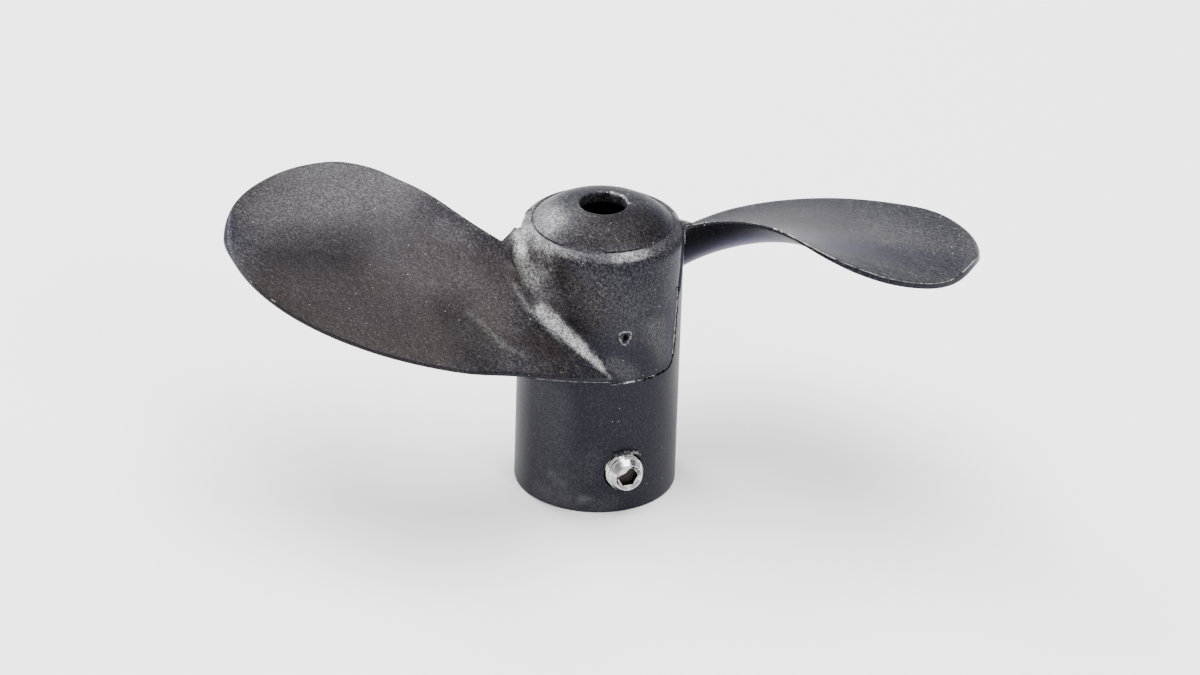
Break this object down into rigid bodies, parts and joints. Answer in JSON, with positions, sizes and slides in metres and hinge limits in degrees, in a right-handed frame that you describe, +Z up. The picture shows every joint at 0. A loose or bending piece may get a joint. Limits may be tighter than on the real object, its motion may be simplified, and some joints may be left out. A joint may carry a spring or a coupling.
{
  "type": "pond aerator propeller",
  "caption": "Moulded plastic propeller with a tall open hub, curved blades, a steel shaft bushing and a socket set screw, for a floating pond aerator.",
  "frame": {"origin": "on the shaft's axis, in the plane of the hub's open end", "axes": "+Z runs up the shaft's axis towards the hub's dome; the blades reach out along +X and -X, and the set screw faces the -Y side"},
  "size_m": [0.1576, 0.077, 0.0645],
  "materials": {
    "black_plastic": "satin dark charcoal, lightly scuffed",
    "bushing_steel": "turned bar, plain",
    "screw_steel": "bright stainless"
  },
  "bodies": {
    "root": {"propeller_moulding": "black_plastic", "shaft_bushing": "bushing_steel", "set_screw": "screw_steel"}
  },
  "joints": []
}
